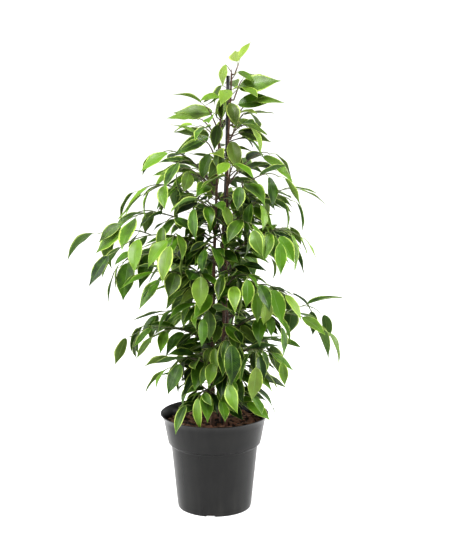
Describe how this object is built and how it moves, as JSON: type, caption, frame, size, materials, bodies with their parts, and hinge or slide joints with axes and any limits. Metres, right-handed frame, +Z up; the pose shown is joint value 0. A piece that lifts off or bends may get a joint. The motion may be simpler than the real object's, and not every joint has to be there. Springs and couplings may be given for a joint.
{
  "type": "weeping fig in a nursery pot",
  "caption": "Young weeping fig, its woody stems tied to a thin stake and its drooping leafy twigs in a narrow cone, standing in soil in a tapered plastic nursery pot.",
  "frame": {"origin": "middle of the pot's flat underside, on the floor", "axes": "+Z up along the plant, -Y towards the viewer of the picture, +X to that viewer's right"},
  "size_m": [0.5364, 0.3973, 0.9091],
  "materials": {
    "pot_plastic": "satin charcoal, moulded",
    "soil": "loose moist mix with bark",
    "bark": "fine rough bark",
    "leaf": "glossy above, dull below, paler along the edge",
    "stake_plastic": "matt black",
    "tie_plastic": "matt black"
  },
  "bodies": {
    "root": {"pot": "pot_plastic", "soil": "soil", "spray_01": "leaf", "spray_02": "leaf", "spray_03": "leaf", "spray_04": "leaf", "spray_05": "leaf", "spray_06": "leaf", "spray_07": "leaf", "spray_08": "leaf", "spray_09": "leaf", "spray_10": "leaf", "spray_11": "leaf", "spray_12": "leaf", "spray_13": "leaf", "spray_14": "leaf", "spray_15": "leaf", "spray_16": "leaf", "spray_17": "leaf", "spray_18": "leaf", "spray_19": "leaf", "spray_20": "leaf", "spray_21": "leaf", "spray_22": "leaf", "spray_23": "leaf", "spray_24": "leaf", "spray_25": "leaf", "spray_26": "leaf", "spray_27": "leaf", "spray_28": "leaf", "spray_29": "leaf", "spray_30": "leaf", "spray_31": "leaf", "spray_32": "leaf", "spray_33": "leaf", "spray_34": "leaf", "spray_35": "leaf", "spray_36": "leaf", "spray_37": "leaf", "spray_38": "leaf", "spray_39": "leaf", "spray_40": "leaf", "spray_41": "leaf", "spray_42": "leaf", "spray_43": "leaf", "spray_44": "leaf", "spray_45": "leaf", "spray_46": "leaf", "spray_47": "leaf", "spray_48": "leaf", "spray_49": "leaf", "spray_50": "leaf", "spray_51": "leaf", "stake": "stake_plastic", "stem_back": "bark", "stem_left": "bark", "stem_right": "bark", "tie_1": "tie_plastic", "tie_2": "tie_plastic", "tie_3": "tie_plastic"}
  },
  "joints": []
}
